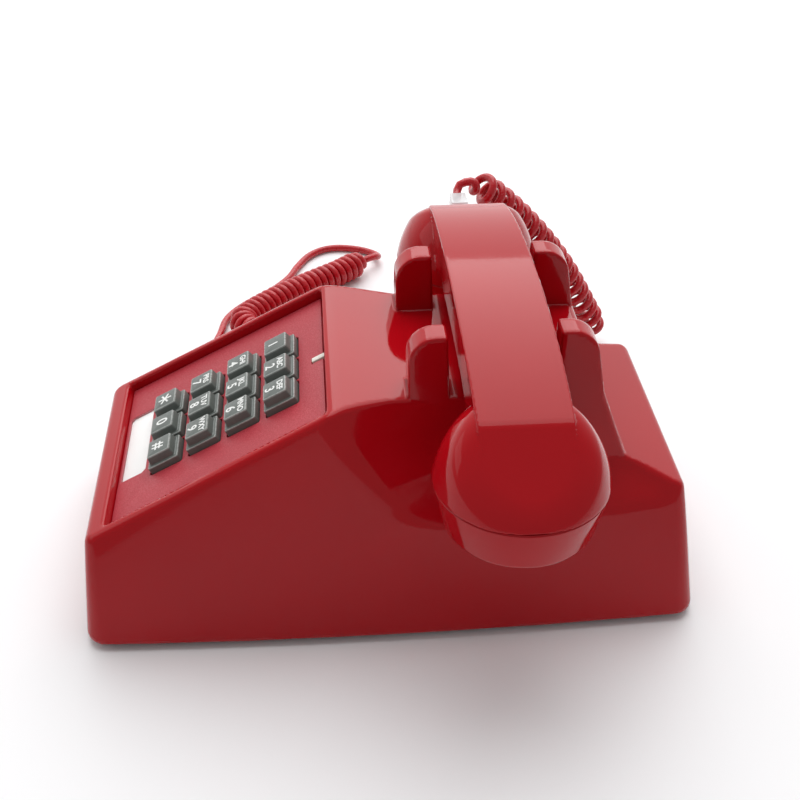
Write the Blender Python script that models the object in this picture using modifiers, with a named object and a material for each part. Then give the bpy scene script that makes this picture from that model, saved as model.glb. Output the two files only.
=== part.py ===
"""A push-button desk telephone: a hollow base with a cradle, a corded handset and a bell ringer.

Lengths are in millimetres until MM turns them into metres. +X is the user's right, -Y is the
keypad's side and +Z is up. The origin is under the middle of the base, on the table.
"""

import math

import bmesh
import bpy
import numpy as np
from mathutils import Matrix, Vector

MM = 0.001
GAP = 0.3  # between pieces that touch
WALL = 2.8  # moulded shell

# Base: its outline at the table and at the rim, and the height of the rim along Y.
SHELL_BOTTOM = 3.0
FRONT_Y = -121.0
REAR_Y = 121.0
HALF_WIDTH = 70.0
WIDTH_LOSS_AT_ENDS = 3.0
FRONT_DRAFT = 0.085
REAR_DRAFT = 0.131
CORNER_RADIUS = 9.0
RIM_FRONT = (-117.2, 44.0)
CREST_FRONT = (-21.5, 95.6)
CREST_REAR = (7.6, 97.4)
DECK_REAR = (113.6, 56.6)
RIM_HALF_FRONT = 52.5
RIM_HALF_CREST = 49.5
RIM_HALF_REAR = 51.5

# Side notches that the handset's cups hang in: planes as (normal, distance), for the right side.
NOTCH_FRONT = ((0.863, 0.287, 0.417), 75.2)
NOTCH_REAR = ((0.874, -0.348, 0.340), 25.4)
NOTCH_FLOOR = ((0.648, 0.029, 0.762), 77.9)

# Cradle.
TROUGH_FLOOR = 94.0
PRONG_INNER = 25.8
PRONG_OUTER = 37.2
PRONG_TOP = 118.3
PRONG_DRAFT = 0.11
HANDLE_Y = 43.0

# Sockets, each as its lowest and highest corner.
LINE_JACK = (Vector((22.0, 99.0, 8.0)), Vector((38.0, 117.6, 22.0)))
HANDSET_JACK = (Vector((-68.6, -92.0, 4.8)), Vector((-50.0, -76.0, 18.0)))

# Faceplate, in its own frame: X, up the slope, and out of the slope.
SLOPE = math.radians(28.2)
PANEL_CENTRE = Vector((0.0, -67.0, 71.55))
PANEL_HALF_FRONT = 48.0
PANEL_HALF_BACK = 45.7
PANEL_HALF_LENGTH = 49.0
PANEL_TOP = -4.4
PANEL_THICK = 2.4
KEY_TOP = 1.9
KEY_PITCH_X = 16.1
KEY_PITCH_Y = 17.8
KEYS_MIDDLE = 1.4
KEY_SKIRT = (14.3, 13.8)
KEY_CAP = (11.6, 11.2)
KEY_SKIRT_TOP = -1.8
KEY_BOTTOM = -9.0
KEY_STROKE = 3.0
KEY_NAMES = ("1", "2", "3", "4", "5", "6", "7", "8", "9", "star", "0", "hash")
CARD_SIZE = (43.4, 11.4)
CARD_MIDDLE = (-3.2, -41.7)
LATCH_HALF_WIDTH = 1.4
LATCH_LENGTH = 6.9

# Handset.
CUP_X = 81.5
CUP_RADIUS = 31.0
SEAM_Z = 88.5
CAP_BOTTOM = 69.5
HANDLE_TOP = 124.0
HANDLE_HALF_WIDTH = 17.2

# Curly cord.
WIRE = 4.0
COIL = 15.4
PLUG_BASE = Vector((-70.5, -84.0, 11.0))

RED = (0.38, 0.004, 0.012)


def clear_scene():
    for item in list(bpy.data.objects):
        bpy.data.objects.remove(item, do_unlink=True)
    for item in list(bpy.data.collections):
        bpy.data.collections.remove(item)


clear_scene()
PARTS = bpy.data.collections.new("desk_telephone")
CUTTERS = bpy.data.collections.new("cutters")
bpy.context.scene.collection.children.link(PARTS)
bpy.context.scene.collection.children.link(CUTTERS)


def paint(name, colour, roughness, metallic=0.0, alpha=1.0):
    """A Principled material."""
    made = bpy.data.materials.new(name)
    made.use_nodes = True
    shader = made.node_tree.nodes["Principled BSDF"]
    shader.inputs["Base Color"].default_value = (*colour, 1.0)
    shader.inputs["Roughness"].default_value = roughness
    shader.inputs["Metallic"].default_value = metallic
    shader.inputs["Alpha"].default_value = alpha
    return made


SHELL = paint("shell_red", RED, 0.12)
PANEL = paint("panel_red", (0.36, 0.02, 0.04), 0.55)
KEY_GREY = paint("key_grey", (0.11, 0.125, 0.115), 0.4)
CORD_RED = paint("cord_red", (0.42, 0.008, 0.016), 0.25)
PAPER = paint("paper", (0.9, 0.9, 0.88), 0.7)
CLEAR = paint("clear_plastic", (0.9, 0.92, 0.92), 0.05, alpha=0.35)
RUBBER = paint("rubber", (0.012, 0.012, 0.012), 0.8)
STEEL = paint("steel", (0.55, 0.55, 0.56), 0.35, 1.0)
BRASS = paint("gong_brass", (0.7, 0.52, 0.24), 0.3, 1.0)
COPPER = paint("copper", (0.7, 0.3, 0.16), 0.35, 1.0)
BOARD = paint("circuit_board", (0.02, 0.16, 0.06), 0.5)
BLACK = paint("black_plastic", (0.02, 0.02, 0.02), 0.45)
IVORY = paint("ivory_plastic", (0.78, 0.76, 0.68), 0.4)


def place(name, mesh, look, matrix=None, cutter=False):
    """A mesh as a named object: a part, or a hidden cutter."""
    made = bpy.data.objects.new(name, mesh)
    if matrix is not None:
        made.matrix_world = matrix
    if cutter:
        made.hide_render = True
        made.display_type = "WIRE"
        CUTTERS.objects.link(made)
    else:
        mesh.materials.append(look)
        PARTS.objects.link(made)
    return made


def finish_mesh(name, shape, smooth=False):
    """A bmesh in millimetres as a mesh in metres, its faces turned out."""
    bmesh.ops.scale(shape, vec=(MM, MM, MM), verts=shape.verts)
    bmesh.ops.recalc_face_normals(shape, faces=shape.faces)
    mesh = bpy.data.meshes.new(name)
    shape.to_mesh(mesh)
    shape.free()
    if smooth:
        mesh.shade_smooth()
        mesh.set_sharp_from_angle(angle=math.radians(35))
    return mesh


def at(x, y, z, turn=None):
    """A placing matrix in metres from a point in millimetres."""
    moved = Matrix.Translation(Vector((x, y, z)) * MM)
    return moved if turn is None else moved @ turn


def box(name, low, high, look=None, matrix=None, bevel=0.0):
    """A box between two corners; with no look it is a cutter."""
    shape = bmesh.new()
    bmesh.ops.create_cube(shape, size=1.0)
    low, high = Vector(low), Vector(high)
    bmesh.ops.scale(shape, vec=high - low, verts=shape.verts)
    bmesh.ops.translate(shape, vec=(high + low) / 2, verts=shape.verts)
    made = place(name, finish_mesh(name, shape), look, matrix, look is None)
    if bevel:
        round_edges(made, bevel)
    return made


def cylinder(name, radius, low, high, look=None, matrix=None, top_radius=None, segments=24):
    """A cylinder or cone along its own Z from low to high."""
    shape = bmesh.new()
    top = radius if top_radius is None else top_radius
    bmesh.ops.create_cone(
        shape, cap_ends=True, segments=segments, radius1=radius, radius2=top, depth=high - low
    )
    bmesh.ops.translate(shape, vec=(0, 0, (high + low) / 2), verts=shape.verts)
    return place(name, finish_mesh(name, shape, True), look, matrix, look is None)


def round_edges(item, width, segments=1, angle=40):
    bevel = item.modifiers.new("Rounded edges", "BEVEL")
    bevel.width = width * MM
    bevel.segments = segments
    bevel.limit_method = "ANGLE"
    bevel.angle_limit = math.radians(angle)
    return bevel


def prism(name, outline, low, high, look=None, matrix=None):
    """A flat outline in XY, thickened from low to high along Z."""
    curve = bpy.data.curves.new(name, "CURVE")
    curve.dimensions = "2D"
    curve.fill_mode = "BOTH"
    curve.extrude = (high - low) / 2 * MM
    line = curve.splines.new("POLY")
    line.points.add(len(outline) - 1)
    for point, (x, y) in zip(line.points, outline):
        point.co = (x * MM, y * MM, 0.0, 1.0)
    line.use_cyclic_u = True
    guide = bpy.data.objects.new(name + "_outline", curve)
    mesh = mesh_of_curve(guide)
    mesh.transform(Matrix.Translation((0, 0, (high + low) / 2 * MM)))
    return place(name, mesh, look, matrix, look is None)


def mesh_of_curve(guide):
    """The welded mesh of a curve object, which is then removed."""
    PARTS.objects.link(guide)
    graph = bpy.context.evaluated_depsgraph_get()
    mesh = bpy.data.meshes.new_from_object(guide.evaluated_get(graph))
    name = guide.data.name
    bpy.data.objects.remove(guide, do_unlink=True)
    shape = bmesh.new()
    shape.from_mesh(mesh)
    bmesh.ops.remove_doubles(shape, verts=shape.verts, dist=1e-6)
    bmesh.ops.recalc_face_normals(shape, faces=shape.faces)
    shape.to_mesh(mesh)
    shape.free()
    mesh.name = name
    return mesh


def turned(name, profile, look=None, matrix=None, steps=32):
    """A profile of (radius, height) points turned about Z: a ring, or open where it meets the axis."""
    shape = bmesh.new()
    corners = [shape.verts.new((radius, 0.0, height)) for radius, height in profile]
    pairs = list(zip(corners, corners[1:]))
    if profile[0][0] > 0.0:
        pairs.append((corners[-1], corners[0]))
    edges = [shape.edges.new(pair) for pair in pairs]
    bmesh.ops.spin(
        shape,
        geom=corners + edges,
        axis=(0, 0, 1),
        cent=(0, 0, 0),
        dvec=(0, 0, 0),
        angle=2 * math.pi,
        steps=steps,
        use_merge=True,
        use_duplicate=False,
    )
    bmesh.ops.remove_doubles(shape, verts=shape.verts, dist=1e-4)
    return place(name, finish_mesh(name, shape, True), look, matrix, look is None)


def tube(name, points, radius, look, resolution=2):
    """A round cord along points in millimetres, with closed ends."""
    curve = bpy.data.curves.new(name, "CURVE")
    curve.dimensions = "3D"
    curve.bevel_depth = radius * MM
    curve.bevel_resolution = resolution
    curve.use_fill_caps = True
    line = curve.splines.new("POLY")
    line.points.add(len(points) - 1)
    for point, place_mm in zip(line.points, points):
        point.co = (*(Vector(place_mm) * MM), 1.0)
    made = bpy.data.objects.new(name, curve)
    curve.materials.append(look)
    PARTS.objects.link(made)
    return made


def combine(item, other, operation):
    """Adds or removes another solid with a Boolean."""
    cut = item.modifiers.new(f"{operation.title()} {other.name}", "BOOLEAN")
    cut.operation = operation
    cut.solver = "EXACT"
    cut.object = other
    return item


def cut_from(item, *others):
    for other in others:
        combine(item, other, "DIFFERENCE")
    return item


def joined_to(item, *others):
    for other in others:
        combine(item, other, "UNION")
    return item


def planar_solid(name, low, high, planes, look=None):
    """A box trimmed by planes: what is left is where normal . point >= distance."""
    shape = bmesh.new()
    bmesh.ops.create_cube(shape, size=1.0)
    low, high = Vector(low), Vector(high)
    bmesh.ops.scale(shape, vec=high - low, verts=shape.verts)
    bmesh.ops.translate(shape, vec=(high + low) / 2, verts=shape.verts)
    for normal, distance in planes:
        normal = Vector(normal)
        spot = normal * (distance / normal.length_squared)
        everything = shape.verts[:] + shape.edges[:] + shape.faces[:]
        bmesh.ops.bisect_plane(
            shape, geom=everything, plane_co=spot, plane_no=normal, clear_inner=True
        )
        bmesh.ops.holes_fill(shape, edges=shape.edges[:], sides=0)
    return place(name, finish_mesh(name, shape), look, None, look is None)


def mirrored(planes, side):
    """The planes on the right side, or their mirror images on the left."""
    return [((normal[0] * side, normal[1], normal[2]), distance) for normal, distance in planes]


# Base shell


def along(y, *stations):
    """A value read between (y, value) stations."""
    places, values = zip(*stations)
    return float(np.interp(y, places, values))


def rim_height(y):
    return along(y, RIM_FRONT, CREST_FRONT, CREST_REAR, DECK_REAR)


def half_width(y, height):
    """The base's half width, widest at the table and fuller than a straight draft."""
    foot = HALF_WIDTH - WIDTH_LOSS_AT_ENDS * (y / REAR_Y) ** 2
    rim = along(
        y,
        (RIM_FRONT[0], RIM_HALF_FRONT),
        (CREST_FRONT[0], RIM_HALF_CREST),
        (DECK_REAR[0], RIM_HALF_REAR),
    )
    part = height / rim_height(y)
    return foot - (foot - rim) * (0.85 * part + 0.15 * part**3)


def shell_points(inset):
    """The corner points of the base's convex outer form, moved in by a wall's thickness.

    Moved in, it is the cavity, which goes on below the shell so that the base is open there.
    """
    points = []
    parts = (0.0, 0.35, 0.7, 1.0)
    floors = (-20.0, SHELL_BOTTOM) if inset else (SHELL_BOTTOM,)
    for y in (-96.0, -60.0, CREST_FRONT[0], CREST_REAR[0], 40.0, 74.0, 96.0):
        top = rim_height(y) - inset * 1.08
        for height in (*floors, *(top * part for part in parts[1:])):
            across = half_width(y, max(height, 0.0)) - inset * 1.03
            points += [(across, y, height), (-across, y, height)]
    for end, draft, rim in ((FRONT_Y, FRONT_DRAFT, RIM_FRONT), (REAR_Y, -REAR_DRAFT, DECK_REAR)):
        top = rim[1] - inset * 1.15
        inwards = -1 if end > 0 else 1
        for height in (*floors, *(top * part for part in parts[1:])):
            wall_y = end + draft * max(height, 0.0) + inwards * inset
            radius = CORNER_RADIUS * (1.0 - 0.55 * max(height, 0.0) / top)
            across = half_width(wall_y, max(height, 0.0)) - inset * 1.03
            for step in range(4):
                angle = math.radians(30 * step)
                x = across - radius * (1 - math.sin(angle))
                y = wall_y + inwards * radius * (1 - math.cos(angle))
                points += [(x, y, height), (-x, y, height)]
    return points


def hull(name, points, look=None):
    """The convex solid around some points."""
    shape = bmesh.new()
    for point in points:
        shape.verts.new(point)
    made = bmesh.ops.convex_hull(shape, input=shape.verts[:], use_existing_faces=False)
    unused = [item for item in made["geom_interior"] if isinstance(item, bmesh.types.BMVert)]
    bmesh.ops.delete(shape, geom=unused, context="VERTS")
    bmesh.ops.dissolve_limit(
        shape, angle_limit=math.radians(0.2), verts=shape.verts[:], edges=shape.edges[:]
    )
    bmesh.ops.triangulate(shape, faces=shape.faces[:])
    return place(name, finish_mesh(name, shape), look, None, look is None)


def notch(side, wall=0.0):
    """The space beside the cradle where a cup of the handset hangs, grown by a wall's thickness."""
    planes = [(normal, distance - wall) for normal, distance in (NOTCH_FRONT, NOTCH_REAR, NOTCH_FLOOR)]
    inner = 36.0 + PRONG_DRAFT * PRONG_TOP - wall
    planes.append(((1.0, 0.0, PRONG_DRAFT), inner))
    low, high = (10.0, -60.0, 30.0), (90.0, 140.0, 130.0)
    if side < 0:
        low, high = (-90.0, -60.0, 30.0), (-10.0, 140.0, 130.0)
    name = f"notch_{'right' if side > 0 else 'left'}_{'inside' if wall else 'outside'}"
    return planar_solid(name, low, high, mirrored(planes, side))


def prong(name, outline, side):
    """One upright of the cradle, extruded across X."""
    low, high = (PRONG_INNER, PRONG_OUTER) if side > 0 else (-PRONG_OUTER, -PRONG_INNER)
    # The outline's own XY becomes the telephone's YZ.
    turn = Matrix(((0, 0, 1, 0), (1, 0, 0, 0), (0, 1, 0, 0), (0, 0, 0, 1)))
    return prism(name, outline, low, high, None, turn)


def arc(centre, radius, first, last, steps):
    """Points on an arc, angles in degrees."""
    angles = [math.radians(first + (last - first) * step / steps) for step in range(steps + 1)]
    return [(centre[0] + radius * math.cos(a), centre[1] + radius * math.sin(a)) for a in angles]


FRONT_PRONG = [(7.6, 84.0), (23.0, 84.0), (21.8, PRONG_TOP), *arc((17.6, 107.6), 10.4, 92, 176, 4)]
REAR_PRONG = [(62.4, 84.0), (84.5, 70.0), (81.5, 90.0), *arc((69.4, 110.2), 8.9, 20, 88, 4), (63.8, 118.7)]


def panel_matrix(x=0.0, up=0.0, out=0.0):
    """The faceplate's frame in the world, moved within itself."""
    turn = Matrix.Rotation(SLOPE, 4, "X")
    return at(*PANEL_CENTRE) @ turn @ at(x, up, out)


def panel_outline(shrink=0.0):
    length = PANEL_HALF_LENGTH - shrink
    return [
        (-PANEL_HALF_FRONT + shrink, -length),
        (PANEL_HALF_FRONT - shrink, -length),
        (PANEL_HALF_BACK - shrink, length),
        (-PANEL_HALF_BACK + shrink, length),
    ]


def make_housing():
    housing = hull("housing", shell_points(0.0), SHELL)
    cut_from(housing, notch(1), notch(-1))
    block_planes = [
        ((-1.0, 0.0, -PRONG_DRAFT), -36.5 - PRONG_DRAFT * PRONG_TOP),
        ((1.0, 0.0, -PRONG_DRAFT), -36.5 - PRONG_DRAFT * PRONG_TOP),
        ((0.0, -0.94, -0.342), -108.0),
    ]
    block = planar_solid("cradle_block", (-60, 4.0, 45), (60, 95, TROUGH_FLOOR), block_planes)
    joined_to(housing, block)
    for side, word in ((1, "right"), (-1, "left")):
        joined_to(housing, prong(f"front_prong_{word}", FRONT_PRONG, side))
        joined_to(housing, prong(f"rear_prong_{word}", REAR_PRONG, side))
    cavity = hull("cavity", shell_points(WALL))
    cut_from(cavity, notch(1, WALL), notch(-1, WALL))
    head_room = box("cradle_cavity", (-35, 14, 40), (35, 74, TROUGH_FLOOR - WALL))
    recess = prism("panel_recess", panel_outline(), PANEL_TOP - PANEL_THICK - GAP, 9, None, panel_matrix())
    opening = prism("panel_opening", panel_outline(3.5), -22, 9, None, panel_matrix())
    cut_from(housing, cavity, head_room, recess, opening)
    for side, word in ((1, "right"), (-1, "left")):
        cut_from(housing, cylinder(f"plunger_hole_{word}", 3.4, 80, 100, None, at(31.5 * side, HANDLE_Y, 0)))
    low, high = LINE_JACK
    grow = Vector((GAP, 0, GAP))
    cut_from(housing, box("line_jack_hole", low - grow, high + grow + Vector((0, 5, 0))))
    low, high = HANDSET_JACK
    grow = Vector((0, GAP, GAP))
    cut_from(housing, box("handset_jack_hole", low - grow - Vector((5, 0, 0)), high + grow))
    cut_from(housing, box("volume_slot", (-75, 21.0, 4.4), (-60, 45.0, 8.6)))
    return housing


# Faceplate and keys


def key_place(index):
    """The key's middle in the faceplate's frame."""
    row, column = divmod(index, 3)
    return (column - 1) * KEY_PITCH_X, KEYS_MIDDLE + (1.5 - row) * KEY_PITCH_Y


def make_faceplate():
    low, high = PANEL_TOP - PANEL_THICK, PANEL_TOP
    plate = prism("faceplate", panel_outline(GAP), low, high, PANEL, panel_matrix())
    half_x, half_y = KEY_SKIRT[0] / 2 + 0.45, KEY_SKIRT[1] / 2 + 0.45
    for index, name in enumerate(KEY_NAMES):
        x, up = key_place(index)
        hole = box(f"hole_{name}", (-half_x, -half_y, low - 2), (half_x, half_y, high + 2), None,
                   panel_matrix(x, up))
        cut_from(plate, hole)
    card_x, card_y = CARD_SIZE[0] / 2, CARD_SIZE[1] / 2
    pocket = box("card_pocket", (-card_x - GAP, -card_y - GAP, high - 1.7),
                 (card_x + GAP, card_y + GAP, high + 1), None, panel_matrix(*CARD_MIDDLE))
    latch_front = PANEL_HALF_LENGTH - GAP - LATCH_LENGTH
    slot_half = LATCH_HALF_WIDTH + 0.4
    tab_slot = box("tab_slot", (-slot_half, latch_front - 0.4, low - 1),
                   (slot_half, PANEL_HALF_LENGTH + 2, high + 1), None, panel_matrix())
    cut_from(plate, pocket, tab_slot)
    box("number_card", (-card_x, -card_y, high - 1.4), (card_x, card_y, high - 1.0), PAPER,
        panel_matrix(*CARD_MIDDLE))
    box("card_window", (-card_x, -card_y, high - 0.7), (card_x, card_y, high), CLEAR,
        panel_matrix(*CARD_MIDDLE))
    box("faceplate_latch", (-LATCH_HALF_WIDTH, latch_front, low),
        (LATCH_HALF_WIDTH, PANEL_HALF_LENGTH - GAP, high + 0.5), IVORY, panel_matrix())


def make_keys():
    for index, name in enumerate(KEY_NAMES):
        x, up = key_place(index)
        half_x, half_y = KEY_SKIRT[0] / 2, KEY_SKIRT[1] / 2
        key = box(f"key_{name}", (-half_x, -half_y, KEY_BOTTOM), (half_x, half_y, KEY_SKIRT_TOP),
                  KEY_GREY, panel_matrix(x, up))
        half_x, half_y = KEY_CAP[0] / 2, KEY_CAP[1] / 2
        cap = box(f"cap_{name}", (-half_x, -half_y, KEY_SKIRT_TOP - 2), (half_x, half_y, KEY_TOP), None,
                  panel_matrix(x, up))
        joined_to(key, cap)


def make_keypad():
    """The key block under the faceplate: a frame, a rubber dome sheet and a board."""
    low, high = -16.0, PANEL_TOP - PANEL_THICK - GAP
    frame = box("keypad_frame", (-27.5, -36.5, low), (27.5, 38.5, high), BLACK, panel_matrix())
    cut_from(frame, box("key_well", (-25.3, -34.3, low - 1), (25.3, 37.3, high + 1), None, panel_matrix()))
    sheet_top = KEY_BOTTOM - KEY_STROKE - GAP
    box("dome_sheet", (-24.8, -33.8, sheet_top - 1.2), (24.8, 36.8, sheet_top), RUBBER, panel_matrix())
    board_top = sheet_top - 1.5
    box("keypad_board", (-24.8, -33.8, board_top - 1.6), (24.8, 36.8, board_top), BOARD, panel_matrix())


# Handset


def make_handset():
    """A solid arched handle with a hollow cup under each end."""
    crown = [(-93.3, 101.3), (-86.4, 110.2), (-74, 115.5), (-56, 119.6), (-30, 122.8), (0, HANDLE_TOP)]
    belly = [(-70, 92), (-50, 98.6), (-25, 100.8), (0, 101.0)]
    outline = crown + [(-x, z) for x, z in crown[-2::-1]]
    outline += [(-x, z) for x, z in belly] + belly[-2::-1]
    turn = Matrix(((1, 0, 0, 0), (0, 0, -1, 0), (0, 1, 0, 0), (0, 0, 0, 1)))
    body = prism("handset_body", outline, -HANDLE_HALF_WIDTH, HANDLE_HALF_WIDTH, SHELL,
                 at(0, HANDLE_Y, 0) @ turn)
    top = HANDLE_TOP - SEAM_Z - 9.5
    dome = [(0.0, top), (12.0, top - 1.7), (20.0, top - 5.3), (26.0, top - 11.2), (30.2, 7.3),
            (CUP_RADIUS, 3.0), (CUP_RADIUS - 0.4, 0.0), (0.0, 0.0)]
    for side, word in ((1, "receiver"), (-1, "transmitter")):
        centre = at(CUP_X * side, HANDLE_Y, SEAM_Z)
        joined_to(body, turned(f"{word}_dome", dome, None, centre, 30))
        hollow = cylinder(f"{word}_hollow", 26.4, -5, 12.0, None, centre, 22.0)
        cut_from(body, hollow)
    cut_from(body, box("handset_socket", (-118, HANDLE_Y - 5.1, 96.2), (-106, HANDLE_Y + 5.1, 103.8)))
    face = CAP_BOTTOM - SEAM_Z
    cap = [(0.0, face + 3.0), (25.6, face + 3.0), (26.0, -GAP), (CUP_RADIUS - 0.4, -GAP),
           (CUP_RADIUS - 1.4, -8.0), (27.0, face + 2.2), (24.5, face), (0.0, face)]
    for side, word in ((1, "receiver"), (-1, "transmitter")):
        centre = at(CUP_X * side, HANDLE_Y, SEAM_Z)
        made = turned(f"{word}_cap", cap, SHELL, centre, 32)
        for index in range(6):
            angle = math.radians(60 * index)
            spot = centre @ at(12.0 * math.cos(angle), 12.0 * math.sin(angle), 0)
            hole = cylinder(f"{word}_hole_{index}", 1.6, -25, -10, None, spot, segments=8)
            cut_from(made, hole)
        cylinder(f"{word}_capsule", 23.5, -15.5, -2.0, STEEL if side > 0 else BLACK, centre, segments=20)


# Hookswitch


def make_hookswitch():
    for side, word in ((1, "right"), (-1, "left")):
        cylinder(f"plunger_{word}", 2.6, 68.0, 99.0, SHELL, at(31.5 * side, HANDLE_Y, 0), segments=16)
    box("hook_lever", (-34, HANDLE_Y - 3, -1.0), (34, HANDLE_Y + 14, 1.0), STEEL, at(0, 0, 66.4))
    bracket = box("hook_bracket", (-29, 60.5, 50.0), (29, 68.5, 51.6), STEEL)
    joined_to(bracket, box("hook_bracket_post", (-29, 66.5, 50.5), (29, 68.5, 66.0)))
    coil = [
        (23.0 + 3.2 * math.cos(angle), 48.0 + 3.2 * math.sin(angle), 53.5 + 11.0 * angle / (8 * math.pi))
        for angle in (2 * math.pi * step / 12 for step in range(49))
    ]
    tube("hook_spring", coil, 0.45, STEEL, 1)
    box("hook_contacts", (-14, 46, 54), (14, 58, 64), BLACK)


# Ringer and electronics


def make_ringer():
    box("ringer_frame", (-14, 56, 6.2), (30, 94, 8.2), STEEL)
    box("ringer_coil", (-4, 62, 8.6), (14, 84, 28), COPPER, bevel=3.0)
    gong = [(24.0, 0.0), (22.0, 8.0), (15.0, 13.5), (2.6, 15.0), (2.6, 16.6), (16.0, 15.0), (23.6, 9.0),
            (25.8, 0.0)]
    for name, x, y, size in (("gong_large", -36.0, 62.0, 1.0), ("gong_small", 37.0, 56.0, 0.9)):
        profile = [(radius * size if radius > 3 else radius, height * size) for radius, height in gong]
        turned(name, profile, BRASS, at(x, y, 17.0), 24)
        cylinder(f"{name}_post", 2.2, 4.7, 36.0, STEEL, at(x, y, 0), segments=12)
    clapper = box("clapper", (-6.2, -1.4, -1.0), (9.2, 1.4, 1.0), STEEL, at(0, 49.5, 22))
    joined_to(clapper, cylinder("clapper_head", 2.4, -2.5, 2.5, None, at(0, 49.5, 22), segments=12))
    joined_to(clapper, box("clapper_arm", (-1.2, -1.2, -1.0), (1.2, 11.5, 1.0), None, at(0, 49.5, 22)))
    wheel = cylinder("volume_wheel", 16.0, 5.0, 8.0, BLACK, at(-53.5, 33.0, 0), segments=24)
    cut_from(wheel, cylinder("wheel_bore", 2.6, 0, 12, None, at(-53.5, 33.0, 0), segments=12))
    cylinder("wheel_pin", 2.2, 4.7, 9.5, STEEL, at(-53.5, 33.0, 0), segments=12)


def make_electronics():
    box("main_board", (-36, -58, 10), (44, 22, 11.6), BOARD)
    box("network_block", (-20, -46, 12), (28, 0, 26), BLACK, bevel=1.5)
    for index, (x, y) in enumerate(((-32, -54), (40, -54), (4, 18))):
        cylinder(f"board_post_{index + 1}", 3.0, 4.7, 9.7, IVORY, at(x, y, 0), segments=12)


def make_jacks():
    low, high = LINE_JACK
    jack = box("line_jack", low, high, BLACK)
    cut_from(jack, box("line_socket", low + Vector((3, 5, 3)), high + Vector((-3, 4, -3))))
    low, high = HANDSET_JACK
    jack = box("handset_jack", low, high, BLACK)
    cut_from(jack, box("plug_socket", low + Vector((-4, 3, 2.6)), high + Vector((-4, -3, -2.6))))


def make_base():
    """The steel base plate inside the shell's foot, its screws and its feet."""
    outline = []
    for sign_y in (-1, 1):
        for step in range(5):
            angle = math.radians(90 * step / 4)
            x = 62.8 - 14 * (1 - (math.cos(angle) if sign_y > 0 else math.sin(angle)))
            y = 111.8 - 14 * (1 - (math.sin(angle) if sign_y > 0 else math.cos(angle)))
            outline.append((x, sign_y * y))
    outline += [(-x, y) for x, y in reversed(outline)]
    plate = prism("base_plate", outline, 3.1, 4.4, STEEL)
    for word, x, y in (("left", -40.0, -20.0), ("right", 50.0, -20.0)):
        cut_from(plate, cylinder(f"screw_hole_{word}", 2.4, 0, 8, None, at(x, y, 0), segments=12))
        screw = cylinder(f"base_screw_{word}", 2.1, 1.6, 9.0, STEEL, at(x, y, 0), segments=12)
        joined_to(screw, cylinder(f"screw_head_{word}", 4.2, 1.4, 2.8, None, at(x, y, 0), segments=16))
    for name, x, y in (("front_left", -50, -94), ("front_right", 50, -94), ("rear_left", -50, 94),
                       ("rear_right", 50, 94)):
        cylinder(f"foot_{name}", 8.0, 0.0, 2.8, RUBBER, at(x, y, 0), 8.6, 20)


# Cord


def smooth_route(points, spacing):
    """Evenly spaced points on a smooth curve through the route's own points."""
    route = np.array(points, float)
    ends = np.vstack([2 * route[0] - route[1], route, 2 * route[-1] - route[-2]])
    dense = []
    for a, b, c, d in zip(ends, ends[1:], ends[2:], ends[3:]):
        for t in np.linspace(0, 1, 24, endpoint=False):
            dense.append(0.5 * (2 * b + (c - a) * t + (2 * a - 5 * b + 4 * c - d) * t**2
                                + (3 * b - a - 3 * c + d) * t**3))
    dense.append(route[-1])
    dense = np.array(dense)
    length = np.concatenate([[0], np.cumsum(np.linalg.norm(np.diff(dense, axis=0), axis=1))])
    count = max(int(length[-1] / spacing), 2)
    marks = np.linspace(0, length[-1], count + 1)
    return np.stack([np.interp(marks, length, dense[:, axis]) for axis in range(3)], axis=1)


HANDSET_TAIL = [(-117.7, 43, 100), (-121, 43.1, 100.2), (-124, 43.9, 101.6), (-125, 45.6, 103.8)]
COIL_HANGING = [(-125.8, 51.0, 104.2), (-128, 58, 98.8), (-131, 70, 87.5), (-135, 86, 69), (-139, 101, 47.5),
                (-142, 114, 24), (-143, 119, 14), (-144, 118, 7.9)]
COIL_RESTING = [(-145, 109, 7.9), (-147, 80, 7.9), (-147, 40, 7.9), (-146, 0, 7.9), (-147, -32, 7.9),
                (-151, -54, 7.9), (-161, -64.5, 7.9), (-172, -63, 7.9), (-190, -46, 7.9), (-204, -29, 7.9),
                (-216, -13, 7.9), (-228, 0, 7.9), (-231, 3.4, 7.9)]
BASE_TAIL = [(-235, 9.5, 7.6), (-241, 12, 4.6), (-249, 9, 2.6), (-255, 1, 2.2), (-258, -10, 2.2),
             (-256.5, -20, 2.2), (-249, -29, 2.2), (-236, -36, 2.2), (-221, -42, 2.2), (-206, -53, 2.2),
             (-192, -67, 2.2), (-178, -75.5, 2.2), (-162, -78.5, 2.2), (-140, -84, 2.2), (-118, -88, 2.4),
             (-98, -87.5, 5.6), (-87.5, -84.8, 10.4), (-80.3, -84, 11.2)]


def make_cord():
    tube("cord_tail_handset", smooth_route(HANDSET_TAIL, 5.0), WIRE / 2, CORD_RED)
    tube("cord_coil_hanging", smooth_route(COIL_HANGING, 13.0), COIL / 2, CORD_RED)
    tube("cord_coil_resting", smooth_route(COIL_RESTING, 16.0), COIL / 2, CORD_RED)
    tube("cord_tail_base", smooth_route(BASE_TAIL, 9.0), WIRE / 2, CORD_RED)
    box("handset_plug", (-117.2, HANDLE_Y - 3.8, 97.0), (-106.4, HANDLE_Y + 3.8, 103.0), CLEAR)
    low, high = PLUG_BASE - Vector((9.2, 3.8, 3.0)), PLUG_BASE + Vector((10.0, 3.8, 3.4))
    box("base_plug", low, high, CLEAR)


def main():
    make_housing()
    make_faceplate()
    make_keys()
    make_keypad()
    make_handset()
    make_hookswitch()
    make_ringer()
    make_electronics()
    make_jacks()
    make_base()
    make_cord()


main()
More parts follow.
